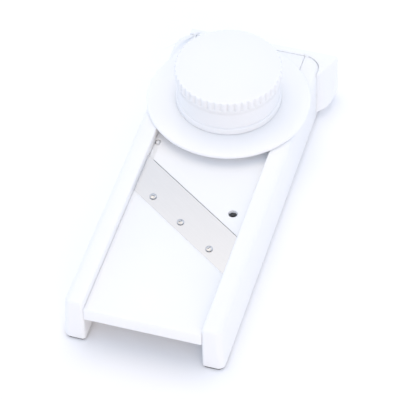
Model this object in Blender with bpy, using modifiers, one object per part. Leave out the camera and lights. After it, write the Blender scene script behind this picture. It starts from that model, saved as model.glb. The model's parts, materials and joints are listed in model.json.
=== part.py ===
"""Mandoline slicer with a sliding guard and a push-down knob.

Units are metres and +Z is up. The model is built in bench coordinates: X is measured from the
frame's middle, Y from its front and Z from the ground. One empty then moves it all, so that the
origin lies under the middle of the whole object.
"""

import math

import bmesh
import bpy
from mathutils import Matrix, Vector

# ---------------------------------------------------------------- frame
FRAME_WIDTH = 0.130  # across the rail tops
FRAME_LENGTH = 0.322  # front of the rails to their far end
RAIL_TOP = 0.046  # above the ground
RAIL_WIDTH = 0.0157
RAIL_SPLAY = 0.0024  # how far the outer wall leans out at its lower edge
RAIL_WALL = 0.0025
RAIL_ROOF = 0.003
RAIL_EDGE = 0.0045  # rounding of the outer top edge, less than the corners' rounding
RAIL_INNER_EDGE = 0.0014
POST_CORNER = 0.0055  # rounding of the front outer corners, seen from above
INNER_CORNER = 0.0025
FAR_CORNER = 0.0145  # rounding of the far outer corners, seen from above
FOOT_HEIGHT = 0.0022
FOOT_LENGTH = 0.022
FOOT_INSET = 0.0006
FOOT_PLUG = 0.004
FIT = 0.0003  # clearance between pieces that are pressed or screwed together

# ---------------------------------------------------------------- tables and blade
TABLE_DROP = 0.0064  # from the rail tops down to the run-off table
LIP_HEIGHT = 0.0122  # front edge of the run-off table
TABLE_SKIN = 0.0034
TABLE_RIM = 0.004
SOFT_EDGE = 0.0008
BLADE_SLOPE = 0.705  # how far the blade runs forward for each unit to the right
BLADE_EDGE_Y = 0.1412  # cutting edge at the frame's middle
BLADE_DEPTH = 0.0410  # along Y, from the cutting edge to the back of the blade
BLADE_THICKNESS = 0.0012
BLADE_GRIND = 0.0030
BED_DEPTH = 0.0225  # along Y, the part of the blade that rests on the run-off table
BLADE_SCREWS_X = (-0.0311, -0.0010, 0.0298)
BLADE_SCREW_SETBACK = 0.0095  # along Y, from the back of the blade
SCREW_SHANK = 0.0014
SCREW_HEAD = 0.0030
BRIDGE_SCREW_HEAD = 0.0026
SCREW_HEAD_HEIGHT = 0.0011
SCREW_SLOT = 0.0007

FEED_DROP = 0.0006  # thinnest slice
FEED_SKIN = 0.003
FEED_GAP = 0.0012  # along Y, between the cutting edge and the feed table
FEED_SIDE_GAP = 0.0005
FEED_FAR_Y = 0.3130
FEED_RIB = 0.0025
FEED_RIB_INSET = 0.0058  # from the feed table's side
FEED_RIB_DEPTH = 0.0070
FEED_RIB_SETBACK = 0.016  # along Y, from the cutting edge
CROSS_RIB_DEPTH = 0.0050
NEAR_RIB_GAP = 0.025  # from the adjuster's axis
FAR_RIB_GAP = 0.045  # from the pins
SIGHT_HOLE_X = 0.0378
SIGHT_HOLE_Y = 0.1316
SIGHT_HOLE_RADIUS = 0.004
PEG_INSET = 0.0029  # from the left rail's inner face to the guide peg
PEG_Y = 0.1945
PEG_RADIUS = 0.0017
PEG_CLEARANCE = 0.0009
PEG_GROOVE_FLOOR = 0.0012  # table left under the groove
PEG_ARM_DROP = 0.0104  # from the feed table's underside
PEG_ARM_HEIGHT = 0.0028
PEG_ARM_WIDTH = 0.006
PEG_ARM_END = 0.0008  # beyond the peg

# ---------------------------------------------------------------- feed table hinge and adjuster
PIVOT_Y = 0.3094
PIVOT_DROP = 0.0038  # from the feed table's underside
PIVOT_RADIUS = 0.0020
PIN_HEAD_RADIUS = 0.0032
PIN_HEAD_HEIGHT = 0.0012
LUG_RADIUS = 0.0042
MAX_TILT = math.radians(1.9)
BRIDGE_Y = 0.2150
BRIDGE_DEPTH = 0.020
BRIDGE_LOW = 0.0124
BRIDGE_HEIGHT = 0.010
BRIDGE_WALL = 0.003
STUD_RADIUS = 0.0030
STUD_CHAMFER = 0.0005
RING_RADIUS = 0.0060
RING_HEIGHT = 0.0010
THUMB_RADIUS = 0.0170
THUMB_HEIGHT = 0.0090
THUMB_FLOOR = 0.0025
THUMB_LOBES = 16
THUMB_WAVE = 0.0012
NUT_WIDTH = 0.010
NUT_HEIGHT = 0.005
NUT_PLAY = 0.0006
BOSS_RADIUS = 0.0090
BOSS_DEPTH = 0.0078

# ---------------------------------------------------------------- far end
CROSSBAR_Y = 0.3140
CROSSBAR_LOW = 0.012
COVER_DEPTH = 0.0062
COVER_LEFT_INSET = 0.0094  # from the left rail's outer edge to the cover's left end
COVER_LOW = 0.0086
COVER_TOP_DROP = 0.0004
HINGE_COVER_CLEARANCE = 0.0035  # along Y, from the parked guard's guide ring
HINGE_COVER_THICKNESS = 0.0032
CLIP_X = 0.030
CLIP_RADIUS = 0.0020
CLIP_LENGTH = 0.0034
GRIP_TOP_REACH = 0.0123  # beyond the rail top's outer edge
GRIP_LOW_REACH = 0.0136
GRIP_TOP_LENGTH = 0.0274  # along Y, from the far face to where the grip leaves the rail
GRIP_LOW_LENGTH = 0.0351
GRIP_KNEE_REACH = 0.0119  # beyond the rail top's outer edge, at the lower outline's bend
GRIP_KNEE_LENGTH = 0.0257
GRIP_KNEE_SHARE = 0.45  # where the bend lies along the straight upper outline
GRIP_SOFTNESS = 0.55  # share of the lower outline's two runs that the bend takes
GRIP_CORNER = 0.0015
COVER_SCREW_X = 0.036
COVER_SCREW_Z = 0.028
COVER_SINK = 0.0016

# ---------------------------------------------------------------- guard
GUARD_Y = 0.2511
GUARD_RADIUS = 0.0706
GUARD_SKIN = 0.0034
GUIDE_CLEARANCE = 0.0007  # between the guide ring and each rail
GUIDE_WALL = 0.0022
GUIDE_DEPTH = 0.0029
TUBE_RADIUS = 0.0437
TUBE_WALL = 0.0024
TUBE_HEIGHT = 0.0252
COLLAR_STEP = 0.0017
COLLAR_HEIGHT = 0.0059
LEDGE_HEIGHT = 0.0116
LEDGE_REACH = 0.0015
SEAT_SKIN = 0.0024
SEAT_HUB = 0.0062
SEAT_HUB_HEIGHT = 0.0044
KNOB_CLEARANCE = 0.0006  # all round, on the tube
KNOB_SKIRT = 0.0122
KNOB_RISE = 0.0235  # from the guard's top to the skirt's lower edge
KNOB_WALL = 0.0017
KNOB_ROOF = 0.0028
KNOB_DOME = 0.0016
KNOB_EDGE = 0.0022
KNOB_BOSS_WALL = 0.0022
KNOB_LIP = 0.0016
KNURL_COUNT = 48
KNURL_DEPTH = 0.0008
KNURL_HEIGHT = 0.0078
PRESS_TRAVEL = 0.0095
STEM_RADIUS = 0.0040
FLANGE_RADIUS = 0.0120
FLANGE_HEIGHT = 0.0020
SPRING_RADIUS = 0.0077
SPRING_WIRE = 0.0006
SPRING_TURNS = 5
PUSHER_CLEARANCE = 0.0021  # all round, in the tube's bore
PUSHER_SKIN = 0.0035
PUSHER_SCREW_LENGTH = 0.0105
PRONG_COUNT = 6
PRONG_CIRCLE = 0.0240
PRONG_RADIUS = 0.0011
PRONG_LENGTH = 0.0058  # below the pusher plate
PRONG_TAPER = 0.0025
PRONG_POINT = 0.0002
PRONG_COVER = 0.0010  # plate left over each prong

# ---------------------------------------------------------------- worked out from the sizes above
CHANNEL_X = FRAME_WIDTH / 2 - RAIL_WIDTH  # inner face of the right rail
TABLE_TOP = RAIL_TOP - TABLE_DROP
LIP_LOW = TABLE_TOP - LIP_HEIGHT
FEED_TOP = TABLE_TOP - FEED_DROP
FEED_LOW = FEED_TOP - FEED_SKIN
FEED_X = CHANNEL_X - FEED_SIDE_GAP
FEED_RIB_X = FEED_X - FEED_RIB_INSET
PIVOT_Z = FEED_LOW - PIVOT_DROP
BRIDGE_TOP = BRIDGE_LOW + BRIDGE_HEIGHT
BOSS_LOW = FEED_LOW - BOSS_DEPTH
STUD_TOP = FEED_LOW - (PIVOT_Y - BRIDGE_Y) * math.sin(MAX_TILT) - 2 * FIT
COVER_Y = FRAME_LENGTH + FIT
FAR_Y = COVER_Y + COVER_DEPTH
COVER_LEFT_X = -(FRAME_WIDTH / 2 - COVER_LEFT_INSET)
CROSSBAR_TOP = RAIL_TOP - HINGE_COVER_THICKNESS - 2 * FIT
GUARD_LOW = RAIL_TOP + FIT
GUARD_TOP = GUARD_LOW + GUARD_SKIN
TUBE_LOW = GUARD_TOP + FIT
TUBE_TOP = TUBE_LOW + TUBE_HEIGHT
BORE_RADIUS = TUBE_RADIUS - TUBE_WALL
PUSHER_RADIUS = BORE_RADIUS - PUSHER_CLEARANCE
GUIDE_RADIUS = CHANNEL_X - GUIDE_CLEARANCE
HINGE_COVER_Y = GUARD_Y + GUIDE_RADIUS + HINGE_COVER_CLEARANCE
KNOB_RADIUS = TUBE_RADIUS + KNOB_CLEARANCE + KNOB_WALL
PEG_X = -(CHANNEL_X - PEG_INSET)
SEAT_LOW = TUBE_LOW + LEDGE_HEIGHT + 2 * FIT
SEAT_TOP = SEAT_LOW + SEAT_SKIN
SKIRT_LOW = GUARD_TOP + KNOB_RISE
KNOB_SHOULDER = SKIRT_LOW + KNOB_SKIRT
KNOB_CEILING = TUBE_TOP + PRESS_TRAVEL + FIT
FLANGE_TOP = KNOB_CEILING - FIT
FLANGE_LOW = FLANGE_TOP - FLANGE_HEIGHT
PUSHER_TOP = SEAT_LOW - FIT
PUSHER_LOW = PUSHER_TOP - PUSHER_SKIN
GRIP_X = FRAME_WIDTH / 2 + GRIP_LOW_REACH
MIDDLE_X = (GRIP_X - GUARD_RADIUS) / 2

BENCH = Vector((-MIDDLE_X, -FAR_Y / 2, 0))
MERGE = 1e-5
OVERRUN = 0.002  # how far a cutter runs past the face it opens


# ---------------------------------------------------------------- scene and materials
def clear_scene():
    for obj in list(bpy.data.objects):
        bpy.data.objects.remove(obj)


def collection(name, hidden=False):
    made = bpy.data.collections.new(name)
    made.hide_render = hidden
    bpy.context.scene.collection.children.link(made)
    return made


def material(name, colour, roughness, metallic=0.0):
    made = bpy.data.materials.new(name)
    made.use_nodes = True
    shader = made.node_tree.nodes["Principled BSDF"]
    shader.inputs["Base Color"].default_value = (*colour, 1)
    shader.inputs["Roughness"].default_value = roughness
    shader.inputs["Metallic"].default_value = metallic
    return made


clear_scene()
PARTS = collection("mandoline_slicer")
CUTTERS = collection("cutters", hidden=True)
WHITE = material("white_plastic", (0.90, 0.91, 0.92), 0.35)
STEEL = material("blade_steel", (0.62, 0.63, 0.65), 0.28, 1.0)
SCREW_STEEL = material("screw_steel", (0.55, 0.56, 0.58), 0.35, 1.0)
SPRING_STEEL = material("spring_steel", (0.45, 0.46, 0.48), 0.30, 1.0)
BRASS = material("brass", (0.78, 0.60, 0.30), 0.35, 1.0)
RUBBER = material("black_rubber", (0.02, 0.02, 0.022), 0.75)
GREY = material("grey_plastic", (0.55, 0.57, 0.60), 0.45)


def axis_empty(name, place):
    """An empty on a joint's axis, in bench coordinates. Its children keep bench coordinates."""
    empty = bpy.data.objects.new(name, None)
    empty.location = place
    PARTS.objects.link(empty)
    if name != "bench":
        empty.parent = HOME
    return empty


HOME = axis_empty("bench", BENCH)
TABLE_AXIS = axis_empty("feed_table_axis", (0, PIVOT_Y, PIVOT_Z))
THUMB_AXIS = axis_empty("adjuster_axis", (0, BRIDGE_Y, 0))
GUARD_AXIS = axis_empty("guard_axis", (0, GUARD_Y, RAIL_TOP))
PRESS_AXIS = axis_empty("plunger_axis", (0, GUARD_Y, RAIL_TOP))
TURN_AXIS = axis_empty("knob_axis", (0, GUARD_Y, RAIL_TOP))


def place(obj, parent, group):
    group.objects.link(obj)
    obj.parent = parent
    if parent != HOME:
        obj.location = -Vector(parent.location)
    return obj


def part(name, mesh, look, parent=HOME):
    """A named sub-part, with its mesh in bench coordinates."""
    obj = bpy.data.objects.new(name, mesh)
    mesh.materials.append(look)
    return place(obj, parent, PARTS)


def cutter(mesh, parent=HOME):
    obj = bpy.data.objects.new("cutter_" + mesh.name, mesh)
    obj.hide_render = True
    obj.display_type = "WIRE"
    return place(obj, parent, CUTTERS)


def boolean(obj, mesh, operation):
    modifier = obj.modifiers.new(operation.lower(), "BOOLEAN")
    modifier.operation = operation
    modifier.solver = "EXACT"
    modifier.object = cutter(mesh, obj.parent)
    return obj


def cut(obj, *meshes):
    for mesh in meshes:
        boolean(obj, mesh, "DIFFERENCE")


def join(obj, *meshes):
    for mesh in meshes:
        boolean(obj, mesh, "UNION")


def soften(obj, width, segments=2, degrees=40):
    modifier = obj.modifiers.new("soft_edges", "BEVEL")
    modifier.width = width
    modifier.segments = segments
    modifier.limit_method = "ANGLE"
    modifier.angle_limit = math.radians(degrees)
    modifier.harden_normals = False
    return obj


def shade(mesh, degrees=35):
    mesh.shade_smooth()
    mesh.set_sharp_from_angle(angle=math.radians(degrees))
    return mesh


# ---------------------------------------------------------------- shapes
def rounded(corners, steps=6):
    """An outline from corners (a, b, radius), listed counter-clockwise, with each corner an arc."""
    points = []
    for i, (a, b, radius) in enumerate(corners):
        here = Vector((a, b))
        back = (Vector(corners[i - 1][:2]) - here).normalized()
        ahead = (Vector(corners[(i + 1) % len(corners)][:2]) - here).normalized()
        if radius == 0:
            points.append(here)
            continue
        half = back.angle(ahead) / 2
        centre = here + (back + ahead).normalized() * radius / math.sin(half)
        start = here + back * radius / math.tan(half) - centre
        end = here + ahead * radius / math.tan(half) - centre
        sweep = start.angle_signed(end)
        for step in range(steps + 1):
            turned_by = -sweep * step / steps
            points.append(centre + Matrix.Rotation(turned_by, 2) @ start)
    return points


def circle(radius, steps, wave=0.0, waves=0, middle=(0, 0)):
    """A round outline, its radius less a cosine wave where wave is given."""
    points = []
    for step in range(steps):
        angle = 2 * math.pi * step / steps
        here = radius - wave * (1 + math.cos(waves * angle)) / 2
        points.append((middle[0] + here * math.cos(angle), middle[1] + here * math.sin(angle)))
    return points


AXIS_TURNS = {
    "Z": Matrix.Identity(4),
    "Y": Matrix.Rotation(math.pi / 2, 4, "X"),
    "X": Matrix(((0, 0, 1, 0), (1, 0, 0, 0), (0, 1, 0, 0), (0, 0, 0, 1))),
}


def face_out(bm):
    bmesh.ops.recalc_face_normals(bm, faces=bm.faces)
    if bm.calc_volume(signed=True) < 0:
        bmesh.ops.reverse_faces(bm, faces=bm.faces)


def extruded(name, outlines, low, high, axis="Z"):
    """Flat outlines, given in the plane across the axis, run from low to high along it."""
    curve = bpy.data.curves.new(name, "CURVE")
    curve.dimensions = "2D"
    curve.fill_mode = "BOTH"
    curve.extrude = (high - low) / 2
    for outline in outlines:
        spline = curve.splines.new("POLY")
        spline.points.add(len(outline) - 1)
        for point, (a, b) in zip(spline.points, outline):
            point.co = (a, b, 0, 1)
        spline.use_cyclic_u = True
    guide = bpy.data.objects.new(name, curve)
    CUTTERS.objects.link(guide)
    graph = bpy.context.evaluated_depsgraph_get()
    mesh = bpy.data.meshes.new_from_object(guide.evaluated_get(graph))
    mesh.name = name
    bpy.data.objects.remove(guide)
    middle = (low + high) / 2
    along = {"X": (middle, 0, 0), "Y": (0, middle, 0), "Z": (0, 0, middle)}[axis]
    mesh.transform(Matrix.Translation(along) @ AXIS_TURNS[axis])
    bm = bmesh.new()
    bm.from_mesh(mesh)
    bmesh.ops.remove_doubles(bm, verts=bm.verts, dist=MERGE)
    bmesh.ops.dissolve_limit(bm, angle_limit=math.radians(0.5), verts=bm.verts, edges=bm.edges)
    face_out(bm)
    bm.to_mesh(mesh)
    bm.free()
    return shade(mesh)


def block(name, low, high):
    """A box from its lowest to its highest corner."""
    outline = [(low[0], low[1]), (high[0], low[1]), (high[0], high[1]), (low[0], high[1])]
    return extruded(name, [outline], low[2], high[2])


def rod(name, radius, low, high, centre, axis="Z", segments=24, tip=None):
    """A cylinder along the axis, or a cone where the radius at its low end, tip, is given."""
    bm = bmesh.new()
    bmesh.ops.create_cone(
        bm,
        cap_ends=True,
        segments=segments,
        radius1=radius if tip is None else tip,
        radius2=radius,
        depth=high - low,
    )
    middle = (low + high) / 2
    spot = {
        "X": (middle, centre[0], centre[1]),
        "Y": (centre[0], middle, centre[1]),
        "Z": (centre[0], centre[1], middle),
    }[axis]
    bm.transform(Matrix.Translation(spot) @ AXIS_TURNS[axis])
    mesh = bpy.data.meshes.new(name)
    bm.to_mesh(mesh)
    bm.free()
    return shade(mesh)


def turned(name, profile, look, parent, closed=True, steps=KNURL_COUNT):
    """A piece turned about the guard's axis. The profile (radius, height) runs down its outer side."""
    mesh = bpy.data.meshes.new(name)
    bm = bmesh.new()
    points = [bm.verts.new((radius, 0, height)) for radius, height in profile]
    for first, second in zip(points, points[1:]):
        bm.edges.new((first, second))
    if closed:
        bm.edges.new((points[-1], points[0]))
    bm.to_mesh(mesh)
    bm.free()
    obj = part(name, mesh, look, parent)
    obj.location += Vector((0, GUARD_Y, 0))
    modifier = obj.modifiers.new("turn", "SCREW")
    modifier.axis = "Z"
    modifier.steps = steps
    modifier.render_steps = steps
    modifier.use_merge_vertices = True
    modifier.merge_threshold = MERGE
    modifier.use_smooth_shade = True
    return obj


def arc(centre_r, centre_z, radius, start, end, steps):
    """Points of a profile's rounded corner, from one angle to another, in degrees."""
    points = []
    for step in range(steps + 1):
        angle = math.radians(start + (end - start) * step / steps)
        points.append((centre_r + radius * math.cos(angle), centre_z + radius * math.sin(angle)))
    return points


def screw(name, place_at, axis, towards, head=SCREW_HEAD, length=0.008, look=SCREW_STEEL, parent=HOME):
    """A slotted pan-head screw. The head stands on place_at and towards is the way it faces, 1 or -1."""
    index = "XYZ".index(axis)
    centre = [value for i, value in enumerate(place_at) if i != index]
    base = place_at[index]
    ends = sorted((base, base + towards * SCREW_HEAD_HEIGHT))
    obj = part(name, rod(name, head, ends[0], ends[1], centre, axis), look, parent)
    shank = sorted((base + towards * SCREW_HEAD_HEIGHT / 2, base - towards * length))
    join(obj, rod(name + "_shank", SCREW_SHANK, shank[0], shank[1], centre, axis, 16))
    slot_low = [0.0, 0.0, 0.0]
    slot_high = [0.0, 0.0, 0.0]
    others = [i for i in range(3) if i != index]
    for i, half in zip(others, (SCREW_SLOT / 2, head + OVERRUN)):
        slot_low[i] = place_at[i] - half
        slot_high[i] = place_at[i] + half
    slot = sorted((base + towards * SCREW_HEAD_HEIGHT / 2, base + towards * 2 * SCREW_HEAD_HEIGHT))
    slot_low[index], slot_high[index] = slot
    cut(obj, block(name + "_slot", slot_low, slot_high))
    return obj


# ---------------------------------------------------------------- rails and feet
def rail_lean(z):
    """How far the outer wall stands out at a height."""
    return RAIL_SPLAY * (RAIL_TOP - z) / (RAIL_TOP - FOOT_HEIGHT)


def lean(mesh):
    """Moves the outer wall out towards its foot, and the inner wall not at all."""
    for vertex in mesh.vertices:
        share = (abs(vertex.co.x) - CHANNEL_X) / RAIL_WIDTH
        vertex.co.x += math.copysign(rail_lean(vertex.co.z) * share, vertex.co.x)


def rail_outline(side, inset=0.0):
    """The rail from above, counter-clockwise. The inset is taken off all round."""
    inner = CHANNEL_X + inset
    outer = FRAME_WIDTH / 2 - inset
    front = inset
    far = FRAME_LENGTH - inset
    corners = [
        (inner, front, max(INNER_CORNER - inset, 0)),
        (outer, front, max(POST_CORNER - inset, 0)),
        (outer, far, min(FAR_CORNER - inset, outer - inner - FIT)),
        (inner, far, 0),
    ]
    if side < 0:
        corners = [(-x, y, radius) for x, y, radius in reversed(corners)]
    return rounded(corners)


def round_top(obj, side):
    """Rounds the rail's top edge, most on its outer side and less round the ends."""
    mesh = obj.data
    weights = mesh.attributes.new("bevel_weight_edge", "FLOAT", "EDGE")
    for edge in mesh.edges:
        first, second = (mesh.vertices[i].co for i in edge.vertices)
        if min(first.z, second.z) < RAIL_TOP - MERGE:
            continue
        run = (second - first).normalized()
        outward = abs(run.y) if side * (first.x + second.x) / 2 > CHANNEL_X + RAIL_WIDTH / 2 else 0
        least = RAIL_INNER_EDGE / RAIL_EDGE
        weights.data[edge.index].value = least + (1 - least) * outward
    modifier = obj.modifiers.new("top_edge", "BEVEL")
    modifier.width = RAIL_EDGE
    modifier.segments = 4
    modifier.limit_method = "WEIGHT"
    modifier.use_clamp_overlap = False


def make_rail(name, side):
    mesh = extruded(name, [rail_outline(side)], FOOT_HEIGHT, RAIL_TOP)
    lean(mesh)
    obj = part(name, mesh, WHITE)
    round_top(obj, side)
    hollow = extruded(
        name + "_hollow",
        [rail_outline(side, RAIL_WALL)],
        FOOT_HEIGHT - OVERRUN,
        RAIL_TOP - RAIL_ROOF,
    )
    lean(hollow)
    past = sorted((side * (CHANNEL_X - OVERRUN), side * (CHANNEL_X + RAIL_WALL + OVERRUN)))
    pin_hole = rod(
        name + "_pin_hole",
        PIVOT_RADIUS + FIT,
        past[0],
        past[1],
        (PIVOT_Y, PIVOT_Z),
        "X",
    )
    middle_z = BRIDGE_LOW + BRIDGE_HEIGHT / 2
    screw_hole = rod(
        name + "_screw_hole",
        SCREW_SHANK + FIT,
        past[0],
        past[1],
        (BRIDGE_Y, middle_z - BRIDGE_WALL / 2),
        "X",
    )
    cut(obj, hollow, pin_hole, screw_hole)
    return obj


def make_foot(name, side, front):
    """A rubber pad under a rail's end, with a plug in the rail's hollow."""
    near = FOOT_INSET if front else FRAME_LENGTH - FOOT_INSET - FOOT_LENGTH
    corner = POST_CORNER if front else FAR_CORNER - FOOT_INSET
    inner = CHANNEL_X + FOOT_INSET
    outer = FRAME_WIDTH / 2 + RAIL_SPLAY - FOOT_INSET
    pad = [
        (inner, near, INNER_CORNER),
        (outer, near, corner if front else INNER_CORNER),
        (outer, near + FOOT_LENGTH, INNER_CORNER if front else corner),
        (inner, near + FOOT_LENGTH, 0),
    ]
    if side < 0:
        pad = [(-x, y, radius) for x, y, radius in reversed(pad)]
    obj = part(name, extruded(name, [rounded(pad)], 0, FOOT_HEIGHT - FIT), RUBBER)
    slack = RAIL_WALL + FIT
    leaning = RAIL_SPLAY * RAIL_WALL / RAIL_WIDTH
    plug_x = sorted((side * (CHANNEL_X + slack + leaning), side * (FRAME_WIDTH / 2 - slack)))
    plug_low = (plug_x[0], near + FOOT_LENGTH / 4, FOOT_HEIGHT / 2)
    plug_high = (plug_x[1], near + FOOT_LENGTH / 2, FOOT_HEIGHT + FOOT_PLUG)
    join(obj, block(name + "_plug", plug_low, plug_high))
    return obj


# ---------------------------------------------------------------- run-off table and blade
def edge_y(x, behind=0.0):
    """Where a line parallel to the cutting edge lies, behind it by a distance along Y."""
    return BLADE_EDGE_Y - behind - BLADE_SLOPE * x


def slanted(half_width, near, far):
    """An outline between two lines parallel to the cutting edge, near and far behind it along Y."""
    return [
        (-half_width, edge_y(-half_width, far)),
        (half_width, edge_y(half_width, far)),
        (half_width, edge_y(half_width, near)),
        (-half_width, edge_y(-half_width, near)),
    ]


def make_runoff_table():
    half = CHANNEL_X - FIT
    bed_far = BLADE_DEPTH - BED_DEPTH
    outline = [
        (-half, 0),
        (half, 0),
        (half, edge_y(half, bed_far)),
        (-half, edge_y(-half, bed_far)),
    ]
    obj = part("runoff_table", extruded("runoff_table", [outline], LIP_LOW, TABLE_TOP), WHITE)
    soften(obj, SOFT_EDGE)
    inner = half - TABLE_RIM
    solid_end = BLADE_DEPTH + TABLE_RIM
    pocket = [
        (-inner, TABLE_RIM),
        (inner, TABLE_RIM),
        (inner, edge_y(inner, solid_end)),
        (-inner, edge_y(-inner, solid_end)),
    ]
    cut(obj, extruded("table_pocket", [pocket], LIP_LOW - OVERRUN, TABLE_TOP - TABLE_SKIN))
    seat = TABLE_TOP - BLADE_THICKNESS - FIT
    recess = slanted(half + OVERRUN, -OVERRUN, BLADE_DEPTH + FIT)
    cut(obj, extruded("blade_recess", [recess], seat, TABLE_TOP + OVERRUN))
    for index, x in enumerate(BLADE_SCREWS_X):
        spot = (x, edge_y(x, BLADE_DEPTH - BLADE_SCREW_SETBACK))
        cut(obj, rod(f"bed_hole_{index}", SCREW_SHANK + FIT, LIP_LOW - OVERRUN, TABLE_TOP, spot))


def make_blade():
    half = CHANNEL_X - FIT
    low = TABLE_TOP - BLADE_THICKNESS
    mesh = extruded("slicing_blade", [slanted(half, 0, BLADE_DEPTH)], low, TABLE_TOP)
    for vertex in mesh.vertices:
        if vertex.co.z < low + MERGE and vertex.co.y > edge_y(vertex.co.x, BLADE_DEPTH / 2):
            vertex.co.y -= BLADE_GRIND
    obj = part("slicing_blade", mesh, STEEL)
    for index, x in enumerate(BLADE_SCREWS_X):
        spot = (x, edge_y(x, BLADE_DEPTH - BLADE_SCREW_SETBACK))
        cut(obj, rod(f"blade_hole_{index}", SCREW_SHANK + FIT, low - OVERRUN, TABLE_TOP + OVERRUN, spot))
    for name, x in zip(("left", "middle", "right"), BLADE_SCREWS_X):
        spot = (x, edge_y(x, BLADE_DEPTH - BLADE_SCREW_SETBACK), TABLE_TOP + FIT)
        screw("blade_screw_" + name, spot, "Z", 1)


# ---------------------------------------------------------------- feed table
def make_feed_table():
    outline = [
        (-FEED_X, edge_y(-FEED_X, -FEED_GAP)),
        (FEED_X, edge_y(FEED_X, -FEED_GAP)),
        (FEED_X, FEED_FAR_Y),
        (-FEED_X, FEED_FAR_Y),
    ]
    obj = part("feed_table", extruded("feed_table", [outline], FEED_LOW, FEED_TOP), WHITE, TABLE_AXIS)
    rib_low = FEED_LOW - FEED_RIB_DEPTH
    rib_top = FEED_LOW + FEED_SKIN / 2
    for side, name in ((-1, "left"), (1, "right")):
        near = edge_y(side * FEED_RIB_X, -FEED_RIB_SETBACK)
        sides = sorted((side * FEED_RIB_X, side * (FEED_RIB_X - FEED_RIB)))
        join(obj, block(f"rib_{name}", (sides[0], near, rib_low), (sides[1], PIVOT_Y, rib_top)))
        lug = sorted((side * (FEED_RIB_X - FEED_RIB), side * (FEED_X - FIT)))
        join(
            obj,
            rod(f"lug_{name}", LUG_RADIUS, lug[0], lug[1], (PIVOT_Y, PIVOT_Z), "X"),
            block(
                f"lug_root_{name}",
                (lug[0] + FIT, PIVOT_Y - LUG_RADIUS + FIT, PIVOT_Z),
                (lug[1] - FIT, FEED_FAR_Y - FIT, rib_top),
            ),
        )
    for name, y in (("near", BRIDGE_Y - NEAR_RIB_GAP), ("far", PIVOT_Y - FAR_RIB_GAP)):
        inner = FEED_RIB_X - FEED_RIB / 2
        low = FEED_LOW - CROSS_RIB_DEPTH
        join(obj, block(f"cross_rib_{name}", (-inner, y, low), (inner, y + FEED_RIB, rib_top)))
    join(obj, rod("nut_boss", BOSS_RADIUS, BOSS_LOW, rib_top, (0, BRIDGE_Y), segments=32))
    pocket = circle((NUT_WIDTH / 2 + FIT) / math.cos(math.pi / 6), 6, middle=(0, BRIDGE_Y))
    cut(
        obj,
        extruded("nut_pocket", [pocket], BOSS_LOW - OVERRUN, BOSS_LOW + NUT_HEIGHT + 2 * FIT),
        rod("stud_room", STUD_RADIUS + NUT_PLAY + FIT, BOSS_LOW, FEED_LOW, (0, BRIDGE_Y)),
        rod(
            "sight_hole",
            SIGHT_HOLE_RADIUS,
            FEED_LOW - OVERRUN,
            FEED_TOP + OVERRUN,
            (SIGHT_HOLE_X, SIGHT_HOLE_Y),
            segments=32,
        ),
        peg_groove(),
        rod(
            "peg_hole",
            PEG_RADIUS + PEG_CLEARANCE,
            FEED_LOW - OVERRUN,
            FEED_TOP + OVERRUN,
            (PEG_X, PEG_Y),
        ),
        rod("pin_bore", PIVOT_RADIUS + FIT, -CHANNEL_X, CHANNEL_X, (PIVOT_Y, PIVOT_Z), "X"),
    )
    nut = circle(NUT_WIDTH / 2 / math.cos(math.pi / 6), 6, middle=(0, BRIDGE_Y))
    bore = circle(STUD_RADIUS + NUT_PLAY, 24, middle=(0, BRIDGE_Y))
    mesh = extruded("table_nut", [nut, bore], BOSS_LOW + FIT, BOSS_LOW + FIT + NUT_HEIGHT)
    part("table_nut", mesh, BRASS, TABLE_AXIS)


def peg_groove():
    """A groove along the left rail, from the near edge to a round end about the guide peg."""
    half = PEG_RADIUS + PEG_CLEARANCE
    near = edge_y(PEG_X, -FEED_GAP) - 2 * OVERRUN
    outline = [(PEG_X - half, near), (PEG_X + half, near)]
    for step in range(13):
        angle = math.pi * step / 12
        outline.append((PEG_X + half * math.cos(angle), PEG_Y + half * math.sin(angle)))
    return extruded("peg_groove", [outline], FEED_LOW + PEG_GROOVE_FLOOR, FEED_TOP + OVERRUN)


def make_guide_peg():
    """A peg on the left rail's inner wall, with a round top, that keeps the feed table in line."""
    dome = FEED_TOP - PEG_RADIUS / 2
    arm_top = FEED_LOW - PEG_ARM_DROP
    middle = arm_top - PEG_ARM_HEIGHT / 2
    obj = part("guide_peg", rod("guide_peg", PEG_RADIUS, middle, dome, (PEG_X, PEG_Y)), WHITE)
    soften(obj, PEG_RADIUS / 2)
    arm = block(
        "peg_arm",
        (-CHANNEL_X + FIT, PEG_Y - PEG_ARM_WIDTH / 2, arm_top - PEG_ARM_HEIGHT),
        (PEG_X + PEG_RADIUS + PEG_ARM_END, PEG_Y + PEG_ARM_WIDTH / 2, arm_top),
    )
    join(obj, arm)


def make_table_pins():
    """Headed pins through the feed table's lugs into the rails' inner walls."""
    seat = FEED_RIB_X - FEED_RIB - FIT
    middle = seat - PIN_HEAD_HEIGHT / 2
    spot = (PIVOT_Y, PIVOT_Z)
    for name, side in (("table_pin_left", -1), ("table_pin_right", 1)):
        head = sorted((side * (seat - PIN_HEAD_HEIGHT), side * seat))
        shank = sorted((side * middle, side * (CHANNEL_X + RAIL_WALL)))
        obj = part(name, rod(name, PIN_HEAD_RADIUS, head[0], head[1], spot, "X"), SCREW_STEEL)
        join(obj, rod(name + "_shank", PIVOT_RADIUS, shank[0], shank[1], spot, "X"))


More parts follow.
